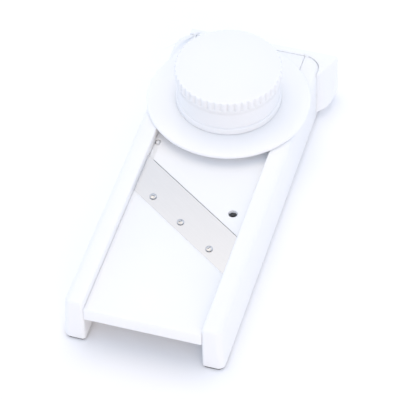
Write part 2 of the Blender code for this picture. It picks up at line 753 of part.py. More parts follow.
# ---------------------------------------------------------------- thickness adjuster
def make_bridge():
    half = CHANNEL_X - FIT
    near = BRIDGE_Y - BRIDGE_DEPTH / 2
    far = BRIDGE_Y + BRIDGE_DEPTH / 2
    obj = part(
        "adjuster_bridge",
        block("adjuster_bridge", (-half, near, BRIDGE_LOW), (half, far, BRIDGE_TOP)),
        WHITE,
    )
    room = (half - BRIDGE_WALL, near + BRIDGE_WALL, far - BRIDGE_WALL)
    hub = BOSS_RADIUS
    for side in (-1, 1):
        sides = sorted((side * hub, side * room[0]))
        cut(
            obj,
            block(
                f"bridge_pocket_{side}",
                (sides[0], room[1], BRIDGE_LOW - OVERRUN),
                (sides[1], room[2], BRIDGE_TOP - BRIDGE_WALL),
            ),
        )
    screw_z = BRIDGE_LOW + BRIDGE_HEIGHT / 2 - BRIDGE_WALL / 2
    cut(
        obj,
        rod("stud_bore", STUD_RADIUS + FIT, BRIDGE_LOW - OVERRUN, BRIDGE_TOP + OVERRUN, (0, BRIDGE_Y)),
    )
    for name, side in (("left", -1), ("right", 1)):
        wall = sorted((side * (half + OVERRUN), side * (room[0] - OVERRUN)))
        cut(obj, rod(f"bridge_hole_{name}", SCREW_SHANK + FIT, wall[0], wall[1], (BRIDGE_Y, screw_z), "X"))
        spot = (side * (room[0] - FIT), BRIDGE_Y, screw_z)
        screw("bridge_screw_" + name, spot, "X", -side, head=BRIDGE_SCREW_HEAD, length=BRIDGE_WALL + RAIL_WALL)


def make_adjuster():
    spot = (0, BRIDGE_Y)
    top = BRIDGE_LOW - FIT
    outline = circle(THUMB_RADIUS, THUMB_LOBES * 4, THUMB_WAVE, THUMB_LOBES, spot)
    mesh = extruded("thumb_wheel", [outline], top - THUMB_HEIGHT, top)
    obj = part("thumb_wheel", mesh, GREY, THUMB_AXIS)
    floor = top - THUMB_HEIGHT + THUMB_FLOOR
    cut(obj, rod("wheel_bore", STUD_RADIUS + FIT, floor, top + OVERRUN, spot))
    stud = rod("adjusting_stud", STUD_RADIUS, floor + FIT, STUD_TOP, spot)
    soften(part("adjusting_stud", stud, SCREW_STEEL, THUMB_AXIS), STUD_CHAMFER, 1)
    ring = [circle(RING_RADIUS, 24, middle=spot), circle(STUD_RADIUS + FIT, 24, middle=spot)]
    mesh = extruded("stud_ring", ring, BRIDGE_TOP + FIT, BRIDGE_TOP + FIT + RING_HEIGHT)
    part("stud_ring", mesh, SCREW_STEEL, THUMB_AXIS)


# ---------------------------------------------------------------- far end
def make_crossbar():
    half = CHANNEL_X - FIT
    far = FRAME_LENGTH - FIT
    obj = part(
        "rear_crossbar",
        block("rear_crossbar", (-half, CROSSBAR_Y, CROSSBAR_LOW), (half, far, CROSSBAR_TOP)),
        WHITE,
    )
    soften(obj, SOFT_EDGE)
    room = RAIL_WALL
    cut(
        obj,
        block(
            "crossbar_pocket",
            (-half + room, CROSSBAR_Y + room, CROSSBAR_LOW - OVERRUN),
            (half - room, far - room, CROSSBAR_TOP - room),
        ),
    )
    clip_y = (CROSSBAR_Y + far) / 2
    cover = part(
        "hinge_cover",
        block("hinge_cover", (-half, HINGE_COVER_Y, CROSSBAR_TOP + FIT), (half, far, RAIL_TOP - FIT)),
        WHITE,
    )
    soften(cover, SOFT_EDGE)
    for side in (-1, 1):
        spot = (side * COVER_SCREW_X, COVER_SCREW_Z)
        cut(obj, rod(f"crossbar_hole_{side}", SCREW_SHANK + FIT, far - room - OVERRUN, FAR_Y, spot, "Y"))
        spot = (side * CLIP_X, clip_y)
        hole_low = CROSSBAR_TOP - room - OVERRUN
        cut(obj, rod(f"clip_hole_{side}", CLIP_RADIUS + FIT, hole_low, RAIL_TOP, spot))
        clip_low = CROSSBAR_TOP + FIT - CLIP_LENGTH
        clip_top = CROSSBAR_TOP + HINGE_COVER_THICKNESS / 2
        join(cover, rod(f"clip_{side}", CLIP_RADIUS, clip_low, clip_top, spot))


def grip_side(start, knee, back):
    """Points from the rail to the far face, turning softly at the knee."""
    knee = Vector(knee)
    first = knee.lerp(Vector(start), GRIP_SOFTNESS)
    last = knee.lerp(Vector(back), GRIP_SOFTNESS)
    points = [start]
    for step in range(7):
        share = step / 6
        points.append(first.lerp(knee, share).lerp(knee.lerp(last, share), share))
    points.append(back)
    return points


def cover_outline(z, reach, length, knee=None):
    """The cover at one height, counter-clockwise: along the rail's far corner, then round the grip."""
    outer = FRAME_WIDTH / 2 + rail_lean(z)
    radius = FAR_CORNER + FIT
    centre_x = outer - FAR_CORNER
    centre_y = FRAME_LENGTH - FAR_CORNER
    points = [(COVER_LEFT_X, COVER_Y)]
    for step in range(7):
        angle = math.pi / 2 * (1 - step / 6)
        points.append((centre_x + radius * math.cos(angle), centre_y + radius * math.sin(angle)))
    start = (outer + FIT, min(FAR_Y - length, centre_y - FIT))
    far_x = FRAME_WIDTH / 2 + reach
    back = (far_x, FAR_Y - GRIP_CORNER)
    if knee is None:
        knee = Vector(start).lerp(Vector(back), GRIP_KNEE_SHARE)
    points.extend(grip_side(start, knee, back))
    points.append((far_x - GRIP_CORNER, FAR_Y))
    points.append((COVER_LEFT_X, FAR_Y))
    return points


def make_rear_cover():
    """The far plate and its flared corner grip, lofted between its lower and its upper outline."""
    top = RAIL_TOP - COVER_TOP_DROP
    knee = (FRAME_WIDTH / 2 + GRIP_KNEE_REACH, FAR_Y - GRIP_KNEE_LENGTH)
    low_ring = cover_outline(COVER_LOW, GRIP_LOW_REACH, GRIP_LOW_LENGTH, knee)
    top_ring = cover_outline(top, GRIP_TOP_REACH, GRIP_TOP_LENGTH)
    mesh = bpy.data.meshes.new("rear_cover")
    bm = bmesh.new()
    lower = [bm.verts.new((*point, COVER_LOW)) for point in low_ring]
    upper = [bm.verts.new((*point, top)) for point in top_ring]
    count = len(low_ring)
    for i in range(count):
        j = (i + 1) % count
        bm.faces.new((lower[i], lower[j], upper[j], upper[i]))
    bm.faces.new(list(reversed(lower)))
    bm.faces.new(upper)
    face_out(bm)
    bm.to_mesh(mesh)
    bm.free()
    obj = part("rear_cover", shade(mesh), WHITE)
    for name, side in (("left", -1), ("right", 1)):
        spot = (side * COVER_SCREW_X, COVER_SCREW_Z)
        cut(obj, rod(f"cover_hole_{name}", SCREW_SHANK + FIT, COVER_Y - OVERRUN, FAR_Y + OVERRUN, spot, "Y"))
        sink = FAR_Y - COVER_SINK
        cut(obj, rod(f"cover_sink_{name}", SCREW_HEAD + FIT, sink, FAR_Y + OVERRUN, spot, "Y"))
        seat = sink + FIT
        head_at = (spot[0], seat, spot[1])
        screw("cover_screw_" + name, head_at, "Y", 1, length=seat - FRAME_LENGTH + RAIL_WALL)


# ---------------------------------------------------------------- guard, plunger and knob
def make_guard():
    rim = GUARD_SKIN / 2
    profile = [
        (BORE_RADIUS, GUARD_TOP),
        (GUARD_RADIUS - rim, GUARD_TOP),
        *arc(GUARD_RADIUS - rim, GUARD_TOP - rim, rim, 50, -50, 3),
        (GUARD_RADIUS - rim, GUARD_LOW),
        (GUIDE_RADIUS, GUARD_LOW),
        (GUIDE_RADIUS, GUARD_LOW - GUIDE_DEPTH),
        (GUIDE_RADIUS - GUIDE_WALL, GUARD_LOW - GUIDE_DEPTH),
        (GUIDE_RADIUS - GUIDE_WALL, GUARD_LOW),
        (BORE_RADIUS, GUARD_LOW),
    ]
    turned("guard_plate", profile, WHITE, GUARD_AXIS)
    collar = TUBE_RADIUS + COLLAR_STEP
    ledge_top = TUBE_LOW + LEDGE_HEIGHT + FIT
    profile = [
        (BORE_RADIUS, TUBE_TOP),
        (TUBE_RADIUS, TUBE_TOP),
        (TUBE_RADIUS, TUBE_LOW + COLLAR_HEIGHT),
        *arc(collar - SOFT_EDGE, TUBE_LOW + COLLAR_HEIGHT - SOFT_EDGE, SOFT_EDGE, 90, 0, 2),
        (collar, TUBE_LOW),
        (BORE_RADIUS, TUBE_LOW),
        (BORE_RADIUS, ledge_top - 2 * LEDGE_REACH),
        (BORE_RADIUS - LEDGE_REACH, ledge_top - LEDGE_REACH),
        (BORE_RADIUS - LEDGE_REACH, ledge_top),
        (BORE_RADIUS, ledge_top),
    ]
    turned("guard_tube", profile, WHITE, GUARD_AXIS)
    hub_top = SEAT_TOP + SEAT_HUB_HEIGHT
    profile = [
        (STEM_RADIUS + FIT, hub_top),
        (SEAT_HUB, hub_top),
        (SEAT_HUB, SEAT_TOP),
        (BORE_RADIUS - FIT, SEAT_TOP),
        (BORE_RADIUS - FIT, SEAT_LOW),
        (STEM_RADIUS + FIT, SEAT_LOW),
    ]
    turned("spring_seat", profile, WHITE, GUARD_AXIS, steps=40)


def make_spring():
    low = SEAT_TOP + FIT + SPRING_WIRE
    high = FLANGE_LOW - FIT - SPRING_WIRE
    curve = bpy.data.curves.new("return_spring", "CURVE")
    curve.dimensions = "3D"
    curve.bevel_depth = SPRING_WIRE
    curve.bevel_resolution = 1
    curve.use_fill_caps = True
    curve.materials.append(SPRING_STEEL)
    spline = curve.splines.new("POLY")
    per_turn = 12
    count = SPRING_TURNS * per_turn
    spline.points.add(count)
    for index, point in enumerate(spline.points):
        angle = 2 * math.pi * index / per_turn
        height = low + (high - low) * index / count
        point.co = (SPRING_RADIUS * math.cos(angle), SPRING_RADIUS * math.sin(angle), height, 1)
    obj = bpy.data.objects.new("return_spring", curve)
    place(obj, PRESS_AXIS, PARTS)
    obj.location += Vector((0, GUARD_Y, 0))


def make_plunger():
    bore = SCREW_SHANK + 2 * FIT
    bore_top = PUSHER_LOW + PUSHER_SCREW_LENGTH + OVERRUN
    profile = [
        (0, FLANGE_TOP),
        (FLANGE_RADIUS, FLANGE_TOP),
        (FLANGE_RADIUS, FLANGE_LOW),
        (STEM_RADIUS, FLANGE_LOW),
        (STEM_RADIUS, PUSHER_TOP + FIT),
        (bore, PUSHER_TOP + FIT),
        (bore, bore_top),
        (0, bore_top),
    ]
    turned("plunger_stem", profile, WHITE, PRESS_AXIS, closed=False, steps=32)
    profile = [
        (bore, PUSHER_TOP),
        (PUSHER_RADIUS, PUSHER_TOP),
        (PUSHER_RADIUS, PUSHER_LOW),
        (bore, PUSHER_LOW),
    ]
    plate = turned("pusher_plate", profile, WHITE, PRESS_AXIS, steps=40)
    screw_at = (0, GUARD_Y, PUSHER_LOW - FIT)
    screw("pusher_screw", screw_at, "Z", -1, length=PUSHER_SCREW_LENGTH, parent=PRESS_AXIS)
    for index in range(PRONG_COUNT):
        angle = 2 * math.pi * (index + 0.5) / PRONG_COUNT
        spot = (PRONG_CIRCLE * math.cos(angle), GUARD_Y + PRONG_CIRCLE * math.sin(angle))
        name = f"prong_{index + 1}"
        root = PUSHER_TOP - PRONG_COVER
        low = PUSHER_LOW - OVERRUN
        cut(plate, rod(name + "_hole", PRONG_RADIUS + FIT, low, root, spot, segments=10))
        tip = PUSHER_LOW - PRONG_LENGTH
        shoulder = tip + PRONG_TAPER
        body = rod(name, PRONG_RADIUS, shoulder, root - FIT, spot, segments=10)
        prong = part(name, body, SCREW_STEEL, PRESS_AXIS)
        cone = rod(name + "_tip", PRONG_RADIUS, tip, shoulder + FIT, spot, segments=10, tip=PRONG_POINT)
        join(prong, cone)


def make_knob():
    shoulder = KNOB_SHOULDER
    inner = KNOB_RADIUS - KNOB_WALL
    smooth = KNOB_RADIUS - KNURL_DEPTH
    roof = KNOB_CEILING + KNOB_ROOF
    boss_in = FLANGE_RADIUS + FIT
    boss_out = boss_in + KNOB_BOSS_WALL
    lip_top = FLANGE_LOW - FIT
    lip_low = lip_top - KNOB_LIP
    rim = smooth - KNOB_EDGE
    dome = [(rim * share, roof - KNOB_DOME * share * share) for share in (0, 0.4, 0.7)]
    profile = [
        *dome,
        *arc(rim, roof - KNOB_DOME - KNOB_EDGE, KNOB_EDGE, 90, 0, 3),
        (smooth, SKIRT_LOW),
        (inner, SKIRT_LOW),
        (inner, KNOB_CEILING),
        (boss_out, KNOB_CEILING),
        (boss_out, lip_low),
        (boss_in - KNOB_LIP, lip_low),
        (boss_in - KNOB_LIP, lip_top),
        (boss_in, lip_top),
        (boss_in, KNOB_CEILING),
        (0, KNOB_CEILING),
    ]
    obj = turned("knob_cap", profile, WHITE, TURN_AXIS, closed=False)
    middle = (0, GUARD_Y)
    outline = circle(KNOB_RADIUS, KNURL_COUNT * 2, KNURL_DEPTH, KNURL_COUNT, middle)
    bore = circle(inner + KNOB_WALL / 3, KNURL_COUNT, middle=middle)
    low = shoulder - KNURL_HEIGHT
    join(obj, extruded("knurl", [outline, bore], low, shoulder))


def build():
    for name, side in (("left", -1), ("right", 1)):
        make_rail(name + "_rail", side)
        make_foot("front_foot_" + name, side, True)
        make_foot("rear_foot_" + name, side, False)
    make_runoff_table()
    make_blade()
    make_feed_table()
    make_guide_peg()
    make_table_pins()
    make_bridge()
    make_adjuster()
    make_crossbar()
    make_rear_cover()
    make_guard()
    make_spring()
    make_plunger()
    make_knob()


build()
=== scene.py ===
"""Looks for the mandoline slicer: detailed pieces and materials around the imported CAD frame."""

import json
import math

import bmesh
import bpy
from mathutils import Matrix, Vector


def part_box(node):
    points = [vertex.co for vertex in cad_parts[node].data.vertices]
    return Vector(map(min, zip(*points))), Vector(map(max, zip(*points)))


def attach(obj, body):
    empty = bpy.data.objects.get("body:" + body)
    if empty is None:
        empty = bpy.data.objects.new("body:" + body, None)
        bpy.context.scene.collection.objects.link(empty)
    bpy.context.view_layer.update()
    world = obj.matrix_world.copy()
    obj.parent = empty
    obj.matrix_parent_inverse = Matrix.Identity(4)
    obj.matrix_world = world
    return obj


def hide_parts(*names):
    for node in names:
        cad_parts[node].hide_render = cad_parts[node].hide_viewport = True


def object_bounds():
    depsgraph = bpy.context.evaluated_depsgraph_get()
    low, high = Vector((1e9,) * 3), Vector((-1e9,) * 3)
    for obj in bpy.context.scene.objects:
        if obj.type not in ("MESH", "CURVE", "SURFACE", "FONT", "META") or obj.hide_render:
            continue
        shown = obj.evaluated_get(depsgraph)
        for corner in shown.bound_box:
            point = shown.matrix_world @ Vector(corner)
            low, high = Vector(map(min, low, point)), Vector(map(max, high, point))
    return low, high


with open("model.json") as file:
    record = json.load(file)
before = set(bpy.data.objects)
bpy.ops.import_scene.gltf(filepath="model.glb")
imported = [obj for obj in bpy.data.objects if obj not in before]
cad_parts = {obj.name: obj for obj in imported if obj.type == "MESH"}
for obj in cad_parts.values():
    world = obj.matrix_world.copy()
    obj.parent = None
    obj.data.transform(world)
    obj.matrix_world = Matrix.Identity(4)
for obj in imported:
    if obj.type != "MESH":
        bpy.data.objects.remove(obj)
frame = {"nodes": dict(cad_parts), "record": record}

CAD_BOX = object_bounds()
NODES = frame["nodes"]
BODY_OF = {
    node: body for body, names in frame["record"]["behaviour"]["bodies"].items() for node in names
}
SLOT_OF = {row["node"]: row["material_slot"] for row in frame["record"]["subparts"]}
MERGE = 1e-5  # points nearer than this are one point
ON_PLANE = 1e-6

# ---------------------------------------------------------------- camera and light
AIM_AHEAD = -0.0173  # along Y, from the middle of the object to the point looked at
AIM_SIDE = 0.0008
AIM_HEIGHT = 0.030
YAW = math.radians(17.29)
ELEVATION = math.radians(47.66)
ROLL = math.radians(-1.20)
DISTANCE = 1.952
LENS = 210.3
SENSOR = 36.0
FAR_CLIP = 20.0
EXPOSURE = 0.0
GAMMA = 1.3  # lifts the shadows, as in a brightly exposed picture
SKY = (0.70, 0.81, 1.0)
SKY_STRENGTH = 1.10
LIGHTS = {  # place, size, power and colour
    "key": ((-0.35, 0.45, 2.0), 1.9, 13, (1.0, 0.74, 0.40)),
    "fill": ((1.0, -1.6, 0.7), 1.4, 9, (1.0, 0.62, 0.26)),
    "back_card": ((0.45, 1.75, 1.92), 1.5, 2.2, (1.0, 0.97, 0.95)),
}


def make_camera():
    camera = bpy.data.cameras.new("camera")
    camera.lens = LENS
    camera.sensor_width = SENSOR
    camera.clip_end = FAR_CLIP
    obj = bpy.data.objects.new("camera", camera)
    bpy.context.scene.collection.objects.link(obj)
    back = Vector(
        (
            math.sin(YAW) * math.cos(ELEVATION),
            -math.cos(YAW) * math.cos(ELEVATION),
            math.sin(ELEVATION),
        )
    )
    right = (-back).cross(Vector((0, 0, 1))).normalized()
    up = back.cross(right)
    turned_right = right * math.cos(ROLL) + up * math.sin(ROLL)
    turned_up = up * math.cos(ROLL) - right * math.sin(ROLL)
    turn = Matrix((turned_right, turned_up, back)).transposed().to_4x4()
    aim = Vector((AIM_SIDE, AIM_AHEAD, AIM_HEIGHT))
    obj.matrix_world = Matrix.Translation(aim + back * DISTANCE) @ turn
    bpy.context.scene.camera = obj


def area_light(name, place, size, power, colour):
    light = bpy.data.lights.new(name, "AREA")
    light.shape = "DISK"
    light.size = size
    light.energy = power
    light.color = colour
    obj = bpy.data.objects.new(name, light)
    bpy.context.scene.collection.objects.link(obj)
    obj.location = place
    obj.rotation_euler = (-Vector(place)).to_track_quat("-Z", "Y").to_euler()


def make_light():
    world = bpy.data.worlds.new("studio")
    world.use_nodes = True
    background = world.node_tree.nodes["Background"]
    background.inputs["Color"].default_value = (*SKY, 1)
    background.inputs["Strength"].default_value = SKY_STRENGTH
    scene = bpy.context.scene
    scene.world = world
    scene.view_settings.view_transform = "Standard"
    scene.view_settings.look = "None"
    scene.view_settings.exposure = EXPOSURE
    scene.view_settings.gamma = GAMMA
    for name, settings in LIGHTS.items():
        area_light(name, *settings)


# ---------------------------------------------------------------- materials
MIX_SHARE, MIX_FIRST, MIX_SECOND, MIX_RESULT = 0, 6, 7, 2  # the mix node's sockets for colours
MOST_NOISE = (0.3, 0.7)  # the values that a noise mostly takes
WHITE = (0.87, 0.88, 0.90)
WHITE_DUSK = (0.85, 0.865, 0.89)
GREY = (0.42, 0.44, 0.47)
GREY_DUSK = (0.36, 0.38, 0.41)
TONE_SCALE = 9
PATCH_SCALE = 38
WAVE_SCALE = 60
GRAIN_SCALE = 1400
SCUFF_SCALE = 620
SCUFF_STRETCH = (1, 0.035, 1)  # scuffs run along Y
PLASTIC_SETTINGS = {
    "Specular IOR Level": 0.42,
    "Subsurface Weight": 0.25,
    "Subsurface Radius": (0.9, 0.95, 1.0),
    "Subsurface Scale": 0.006,
    "Coat Weight": 0.12,
    "Coat Roughness": 0.18,
}
BLADE_SLOPE = 0.705  # of the cutting edge, along over across
GRIND_STRETCH = (0.03, 1, 1)
GRIND_SCALE = 1800
LATHE_SCALE = 900
LATHE_DISTORTION = 0.6
DULL_SHARE = 0.62  # of a turned metal's brightness, under grime
FLOOR_SIZE = 12
FLOOR_DROP = 0.0002  # below the feet


class Look:
    """A Principled material, with short calls for the nodes that feed it."""

    def __init__(self, name, colour, roughness, metallic=0.0):
        self.material = bpy.data.materials.new(name)
        self.material.use_nodes = True
        self.tree = self.material.node_tree
        self.shader = self.tree.nodes["Principled BSDF"]
        self.shader.inputs["Base Color"].default_value = (*colour, 1)
        self.shader.inputs["Roughness"].default_value = roughness
        self.shader.inputs["Metallic"].default_value = metallic
        self.place = self.node("ShaderNodeTexCoord").outputs["Object"]

    def node(self, kind, **settings):
        made = self.tree.nodes.new(kind)
        for key, value in settings.items():
            setattr(made, key, value)
        return made

    def link(self, output, target):
        self.tree.links.new(output, target)

    def stretched(self, scale):
        mapping = self.node("ShaderNodeMapping")
        mapping.inputs["Scale"].default_value = scale
        self.link(self.place, mapping.inputs["Vector"])
        return mapping.outputs["Vector"]

    def noise(self, scale, detail=3.0, stretch=(1, 1, 1)):
        made = self.node("ShaderNodeTexNoise")
        made.inputs["Scale"].default_value = scale
        made.inputs["Detail"].default_value = detail
        self.link(self.stretched(stretch), made.inputs["Vector"])
        return made.outputs["Fac"]

    def mapped(self, value, from_low, from_high, to_low, to_high):
        made = self.node("ShaderNodeMapRange")
        for key, number in (
            ("From Min", from_low),
            ("From Max", from_high),
            ("To Min", to_low),
            ("To Max", to_high),
        ):
            made.inputs[key].default_value = number
        self.link(value, made.inputs["Value"])
        return made.outputs["Result"]

    def blend(self, share, first, second):
        made = self.node("ShaderNodeMix", data_type="RGBA")
        made.inputs[MIX_FIRST].default_value = (*first, 1)
        made.inputs[MIX_SECOND].default_value = (*second, 1)
        self.link(share, made.inputs[MIX_SHARE])
        return made.outputs[MIX_RESULT]

    def bump(self, height, distance, strength=1.0, under=None):
        made = self.node("ShaderNodeBump")
        made.inputs["Distance"].default_value = distance
        made.inputs["Strength"].default_value = strength
        self.link(height, made.inputs["Height"])
        if under is not None:
            self.link(under, made.inputs["Normal"])
        return made.outputs["Normal"]


def plastic(name, colour, dusk, roughness, rubbed=False):
    """Moulded plastic with a slow change of tone, slight waves and fine grain.

    Rubbed plastic, where food slides over it, also has faint lengthwise scuffs.
    """
    look = Look(name, colour, roughness)
    slow = look.mapped(look.noise(TONE_SCALE, 2), 0.35, 0.65, 0, 1)
    look.link(look.blend(slow, colour, dusk), look.shader.inputs["Base Color"])
    patches = look.noise(PATCH_SCALE, 4)
    uneven = look.mapped(patches, *MOST_NOISE, roughness - 0.05, roughness + 0.09)
    look.link(uneven, look.shader.inputs["Roughness"])
    surface = look.bump(look.noise(WAVE_SCALE, 1), 0.00018, 0.35)
    surface = look.bump(look.noise(GRAIN_SCALE, 3), 0.00003, 0.5, surface)
    if rubbed:
        surface = look.bump(look.noise(SCUFF_SCALE, 3, SCUFF_STRETCH), 0.00004, 0.45, surface)
    look.link(surface, look.shader.inputs["Normal"])
    for key, value in PLASTIC_SETTINGS.items():
        look.shader.inputs[key].default_value = value
    return look.material


def blade_steel():
    """Steel ground along the cutting edge, in fine lines."""
    look = Look("blade_steel", (0.60, 0.62, 0.66), 0.30, 1.0)
    turn = look.node("ShaderNodeMapping")
    turn.inputs["Rotation"].default_value = (0, 0, math.atan(BLADE_SLOPE))
    look.link(look.place, turn.inputs["Vector"])
    lines = look.node("ShaderNodeMapping")
    lines.inputs["Scale"].default_value = GRIND_STRETCH
    look.link(turn.outputs["Vector"], lines.inputs["Vector"])
    grain = look.node("ShaderNodeTexNoise")
    grain.inputs["Scale"].default_value = GRIND_SCALE
    grain.inputs["Detail"].default_value = 4
    look.link(lines.outputs["Vector"], grain.inputs["Vector"])
    fine = grain.outputs["Fac"]
    share = look.mapped(fine, *MOST_NOISE, 0, 1)
    tone = look.blend(share, (0.565, 0.58, 0.61), (0.595, 0.61, 0.64))
    look.link(tone, look.shader.inputs["Base Color"])
    look.link(look.mapped(fine, *MOST_NOISE, 0.30, 0.36), look.shader.inputs["Roughness"])
    look.link(look.bump(fine, 0.000002, 0.25), look.shader.inputs["Normal"])
    return look.material


def turned_steel(name, colour, roughness):
    """Turned metal, with fine lathe rings about the piece's own axis and a little grime."""
    look = Look(name, colour, roughness, 1.0)
    rings = look.node("ShaderNodeTexWave", wave_type="RINGS", rings_direction="Z")
    rings.inputs["Scale"].default_value = LATHE_SCALE
    rings.inputs["Distortion"].default_value = LATHE_DISTORTION
    look.link(look.place, rings.inputs["Vector"])
    grime = look.mapped(look.noise(700, 4), 0.4, 0.75, 0, 1)
    dull = tuple(share * DULL_SHARE for share in colour)
    look.link(look.blend(grime, colour, dull), look.shader.inputs["Base Color"])
    uneven = look.mapped(look.noise(500, 2), *MOST_NOISE, roughness - 0.06, roughness + 0.12)
    look.link(uneven, look.shader.inputs["Roughness"])
    look.link(look.bump(rings.outputs["Fac"], 0.00001, 0.4), look.shader.inputs["Normal"])
    return look.material


def rubber():
    """Matt black rubber with a little pale dust."""
    look = Look("black_rubber", (0.022, 0.022, 0.024), 0.78)
    dust = look.mapped(look.noise(260, 5), 0.45, 0.8, 0, 1)
    tone = look.blend(dust, (0.018, 0.018, 0.02), (0.075, 0.073, 0.07))
    look.link(tone, look.shader.inputs["Base Color"])
    look.link(look.bump(look.noise(1500, 2), 0.00006, 0.6), look.shader.inputs["Normal"])
    look.link(look.mapped(dust, 0, 1, 0.7, 0.9), look.shader.inputs["Roughness"])
    return look.material


LOOKS = {
    "white_plastic": plastic("white_plastic", WHITE, WHITE_DUSK, 0.36),
    "rubbed_plastic": plastic("white_plastic_rubbed", WHITE, WHITE_DUSK, 0.40, rubbed=True),
    "grey_plastic": plastic("grey_plastic", GREY, GREY_DUSK, 0.46),
    "blade_steel": blade_steel(),
    "screw_steel": turned_steel("screw_steel", (0.55, 0.56, 0.58), 0.30),
    "spring_steel": turned_steel("spring_steel", (0.42, 0.43, 0.45), 0.34),
    "brass": turned_steel("brass", (0.74, 0.56, 0.26), 0.30),
    "black_rubber": rubber(),
}


def paint(obj, look):
    obj.data.materials.clear()
    obj.data.materials.append(LOOKS[look])


# ---------------------------------------------------------------- pieces from the CAD's own solids
FLAT = math.radians(0.6)  # faces that turn less than this from each other become one
EDGE_TURN = math.radians(32)  # an edge that turns more is rounded, or sharp
EDGE_SEGMENTS = 3
SHARP_TURN = math.radians(50)  # on turned pieces
CUT_SHARP_TURN = math.radians(35)
CORNER_TURN = math.radians(20)  # an outline's corner that turns more is rounded
RUN_SHARE = 0.45  # the most of a run that a rounded corner takes
FILLET_STEPS = 3
TURNED_STEPS = 192


def adopt(obj, *nodes, look=None):
    """The piece stands for these CAD nodes: it rides on their body and takes their slot."""
    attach(obj, BODY_OF[nodes[0]])
    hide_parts(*nodes)
    paint(obj, look or SLOT_OF[nodes[0]])
    return obj


def refined(node, radius, look=None, swell=0.0):
    """A copy of a CAD solid, welded, with rounded edges and smooth round stretches."""
    mesh = NODES[node].data.copy()
    bm = bmesh.new()
    bm.from_mesh(mesh)
    bmesh.ops.remove_doubles(bm, verts=bm.verts, dist=MERGE)
    bmesh.ops.dissolve_limit(bm, angle_limit=FLAT, verts=bm.verts, edges=bm.edges)
    bm.to_mesh(mesh)
    bm.free()
    if swell:
        swollen(mesh, swell)
    mesh.name = node + "_fine"
    obj = bpy.data.objects.new(node + "_fine", mesh)
    bpy.context.scene.collection.objects.link(obj)
    bevel = obj.modifiers.new("edges", "BEVEL")
    bevel.width = radius
    bevel.segments = EDGE_SEGMENTS
    bevel.limit_method = "ANGLE"
    bevel.angle_limit = EDGE_TURN
    bevel.use_clamp_overlap = True
    bevel.miter_outer = "MITER_ARC"
    mesh.shade_smooth()
    mesh.set_sharp_from_angle(angle=EDGE_TURN)
    return adopt(obj, node, look=look)


def swollen(mesh, distance):
    """Moves each face out by a distance, but nowhere past the whole CAD model's box."""
    bm = bmesh.new()
    bm.from_mesh(mesh)
    bm.normal_update()
    moves = [(vert, vert.normal * (distance * vert.calc_shell_factor())) for vert in bm.verts]
    for vert, move in moves:
        vert.co += move
        for axis in range(3):
            vert.co[axis] = min(max(vert.co[axis], CAD_BOX[0][axis]), CAD_BOX[1][axis])
    bm.to_mesh(mesh)
    bm.free()


def axis_of(node):
    """The X and Y of a turned node's upright axis."""
    low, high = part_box(node)
    return (low.x + high.x) / 2, (low.y + high.y) / 2


def section(node):
    """The outline (radius, height) of a turned CAD node's +X side, from its lowest point on."""
    middle_x, middle_y = axis_of(node)
    bm = bmesh.new()
    bm.from_mesh(NODES[node].data)
    bmesh.ops.remove_doubles(bm, verts=bm.verts, dist=MERGE)
    bmesh.ops.bisect_plane(
        bm,
        geom=bm.verts[:] + bm.edges[:] + bm.faces[:],
        dist=ON_PLANE,
        plane_co=(middle_x, middle_y, 0),
        plane_no=(0, 1, 0),
        clear_inner=True,
        clear_outer=True,
    )
    kept = [edge for edge in bm.edges if all(v.co.x > middle_x + MERGE for v in edge.verts)]
    ends = [v for edge in kept for v in edge.verts]
    here = min(ends, key=lambda v: (round(v.co.z, 6), v.co.x))
    points = []
    used = set()
    while True:
        points.append((here.co.x - middle_x, here.co.z))
        ahead = [edge for edge in here.link_edges if edge in kept and edge not in used]
        if not ahead:
            break
        used.add(ahead[0])
        here = ahead[0].other_vert(here)
    bm.free()
    return points[:-1]


def filleted(points, radius):
    """A closed outline with its corners rounded, by less where the runs beside them are short."""
    result = []
    count = len(points)
    for i, point in enumerate(points):
        here = Vector(point)
        back = Vector(points[i - 1]) - here
        ahead = Vector(points[(i + 1) % count]) - here
        turn = math.pi - back.angle(ahead)
        if turn < CORNER_TURN:
            result.append(here)
            continue
        shorter = min(back.length, ahead.length)
        reach = min(radius * math.tan(turn / 2), shorter * RUN_SHARE)
        first = here + back.normalized() * reach
        last = here + ahead.normalized() * reach
        for step in range(FILLET_STEPS + 1):
            share = step / FILLET_STEPS
            result.append(first.lerp(here, share).lerp(here.lerp(last, share), share))
    return result


def revolved(name, node, points, closed=True, steps=TURNED_STEPS, shape=None):
    """A mesh turned about a node's axis; shape(angle, radius, height) may change a radius."""
    middle_x, middle_y = axis_of(node)
    bm = bmesh.new()
    rings = []
    for radius, height in points:
        if radius < MERGE:
            rings.append([bm.verts.new((middle_x, middle_y, height))])
            continue
        ring = []
        for step in range(steps):
            angle = 2 * math.pi * step / steps
            here = shape(angle, radius, height) if shape else radius
            x = middle_x + here * math.cos(angle)
            y = middle_y + here * math.sin(angle)
            ring.append(bm.verts.new((x, y, height)))
        rings.append(ring)
    pairs = list(zip(rings, rings[1:]))
    if closed:
        pairs.append((rings[-1], rings[0]))
    for first, second in pairs:
        for step in range(steps):
            after = (step + 1) % steps
            corners = [first[step % len(first)], first[after % len(first)]]
            corners += [second[after % len(second)], second[step % len(second)]]
            bm.faces.new(list(dict.fromkeys(corners)))
    bmesh.ops.recalc_face_normals(bm, faces=bm.faces)
    mesh = bpy.data.meshes.new(name)
    bm.to_mesh(mesh)
    bm.free()
    mesh.shade_smooth()
    mesh.set_sharp_from_angle(angle=SHARP_TURN)
    obj = bpy.data.objects.new(name, mesh)
    bpy.context.scene.collection.objects.link(obj)
    return obj


def make_turned(node, radius):
    """A turned CAD node, made again with more steps and rounded corners."""
    points = filleted(section(node), radius)
    return adopt(revolved(node + "_fine", node, points), node)


